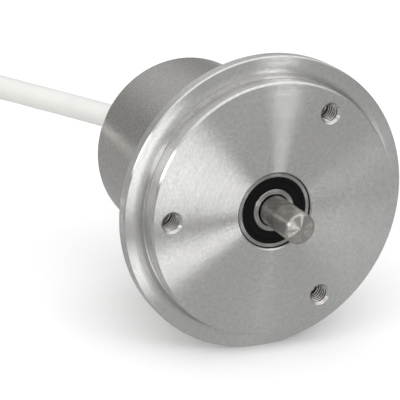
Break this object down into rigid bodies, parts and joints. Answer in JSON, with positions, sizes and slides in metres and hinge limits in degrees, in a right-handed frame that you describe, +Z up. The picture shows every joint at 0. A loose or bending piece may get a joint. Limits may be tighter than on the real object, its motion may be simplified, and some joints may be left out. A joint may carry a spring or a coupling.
{
  "type": "rotary encoder",
  "caption": "Shaft rotary encoder: round stepped aluminium flange with tapped holes, sealed ball bearing, plain steel housing and a moulded signal cable ending in a round plug.",
  "frame": {"origin": "on the shaft's axis, in the plane of the flange's mounting face (the ring around the pilot)", "axes": "-Y along the shaft towards its free end; +Z up; the floor that the rim and the coiled cable touch is at z = -29 mm"},
  "size_m": [0.1441, 0.1147, 0.058],
  "materials": {
    "turned_aluminium": "turned, bright",
    "housing_steel": "satin, faintly mottled",
    "black_rubber": "matt",
    "seal_rubber": "smooth, slight sheen",
    "plated_brass": "nickel plated",
    "brass": "turned",
    "stainless_steel": "ground",
    "spring_steel": "oiled",
    "magnet_ferrite": "ground, dark",
    "circuit_board": "solder mask",
    "chip_plastic": "moulded",
    "ceramic": "fired",
    "gold_pins": "gold plated",
    "connector_plastic": "moulded",
    "core_insulation": "extruded",
    "cable_jacket": "extruded, satin",
    "tie_nylon": "moulded",
    "plug_plastic": "moulded, satin",
    "plug_insert_plastic": "moulded",
    "nickel": "nickel plated, knurled",
    "bearing_steel": "ground",
    "ball_steel": "polished",
    "cage_nylon": "moulded"
  },
  "bodies": {
    "root": {"flange": "turned_aluminium", "housing_shell": "housing_steel", "housing_o_ring": "black_rubber", "cable_grommet": "black_rubber", "cable_clamp": "plated_brass", "front_bearing_outer_ring": "bearing_steel", "front_bearing_front_seal": "seal_rubber", "front_bearing_rear_seal": "seal_rubber", "rear_bearing_outer_ring": "bearing_steel", "rear_bearing_front_seal": "seal_rubber", "rear_bearing_rear_seal": "seal_rubber", "wave_spring": "spring_steel", "sensor_board": "circuit_board", "line_board": "circuit_board", "front_posts": "plated_brass", "rear_posts": "plated_brass", "board_screws": "spring_steel", "sensor_chip": "chip_plastic", "line_driver_chip": "chip_plastic", "board_capacitors": "ceramic", "board_header_strip": "chip_plastic", "board_header_pins": "gold_pins", "cable_socket": "connector_plastic", "cable_plug": "connector_plastic", "cable_cores": "core_insulation", "cable_run": "cable_jacket", "cable_coil": "cable_jacket", "cable_tie": "tie_nylon", "cable_tail": "cable_jacket", "plug_body": "plug_plastic", "plug_insert": "plug_insert_plastic", "plug_pins": "gold_pins", "plug_centre_pin": "gold_pins"},
    "rotor": {"shaft": "stainless_steel", "front_bearing_inner_ring": "bearing_steel", "rear_bearing_inner_ring": "bearing_steel", "shaft_clip": "spring_steel", "magnet_holder": "brass", "magnet_set_screw": "spring_steel", "magnet": "magnet_ferrite"},
    "front_cage": {"front_bearing_balls": "ball_steel", "front_bearing_cage": "cage_nylon"},
    "rear_cage": {"rear_bearing_balls": "ball_steel", "rear_bearing_cage": "cage_nylon"},
    "nut": {"plug_nut": "nickel"}
  },
  "joints": [
    {"name": "shaft_spin", "type": "hinge", "parent": "root", "child": "rotor", "pos_m": [0, 0, 0], "axis": [0, -1, 0], "continuous": true},
    {"name": "front_cage_spin", "type": "hinge", "parent": "root", "child": "front_cage", "pos_m": [0, 0, 0], "axis": [0, -1, 0], "continuous": true},
    {"name": "rear_cage_spin", "type": "hinge", "parent": "root", "child": "rear_cage", "pos_m": [0, 0, 0], "axis": [0, -1, 0], "continuous": true},
    {"name": "plug_nut_turn", "type": "hinge", "parent": "root", "child": "nut", "pos_m": [-0.106, -0.0046, -0.0217], "axis": [0, -1, 0], "continuous": true}
  ],
  "couplings": [
    {"joint": "front_cage_spin", "follows": "shaft_spin", "ratio": 0.38667},
    {"joint": "rear_cage_spin", "follows": "shaft_spin", "ratio": 0.38667}
  ]
}
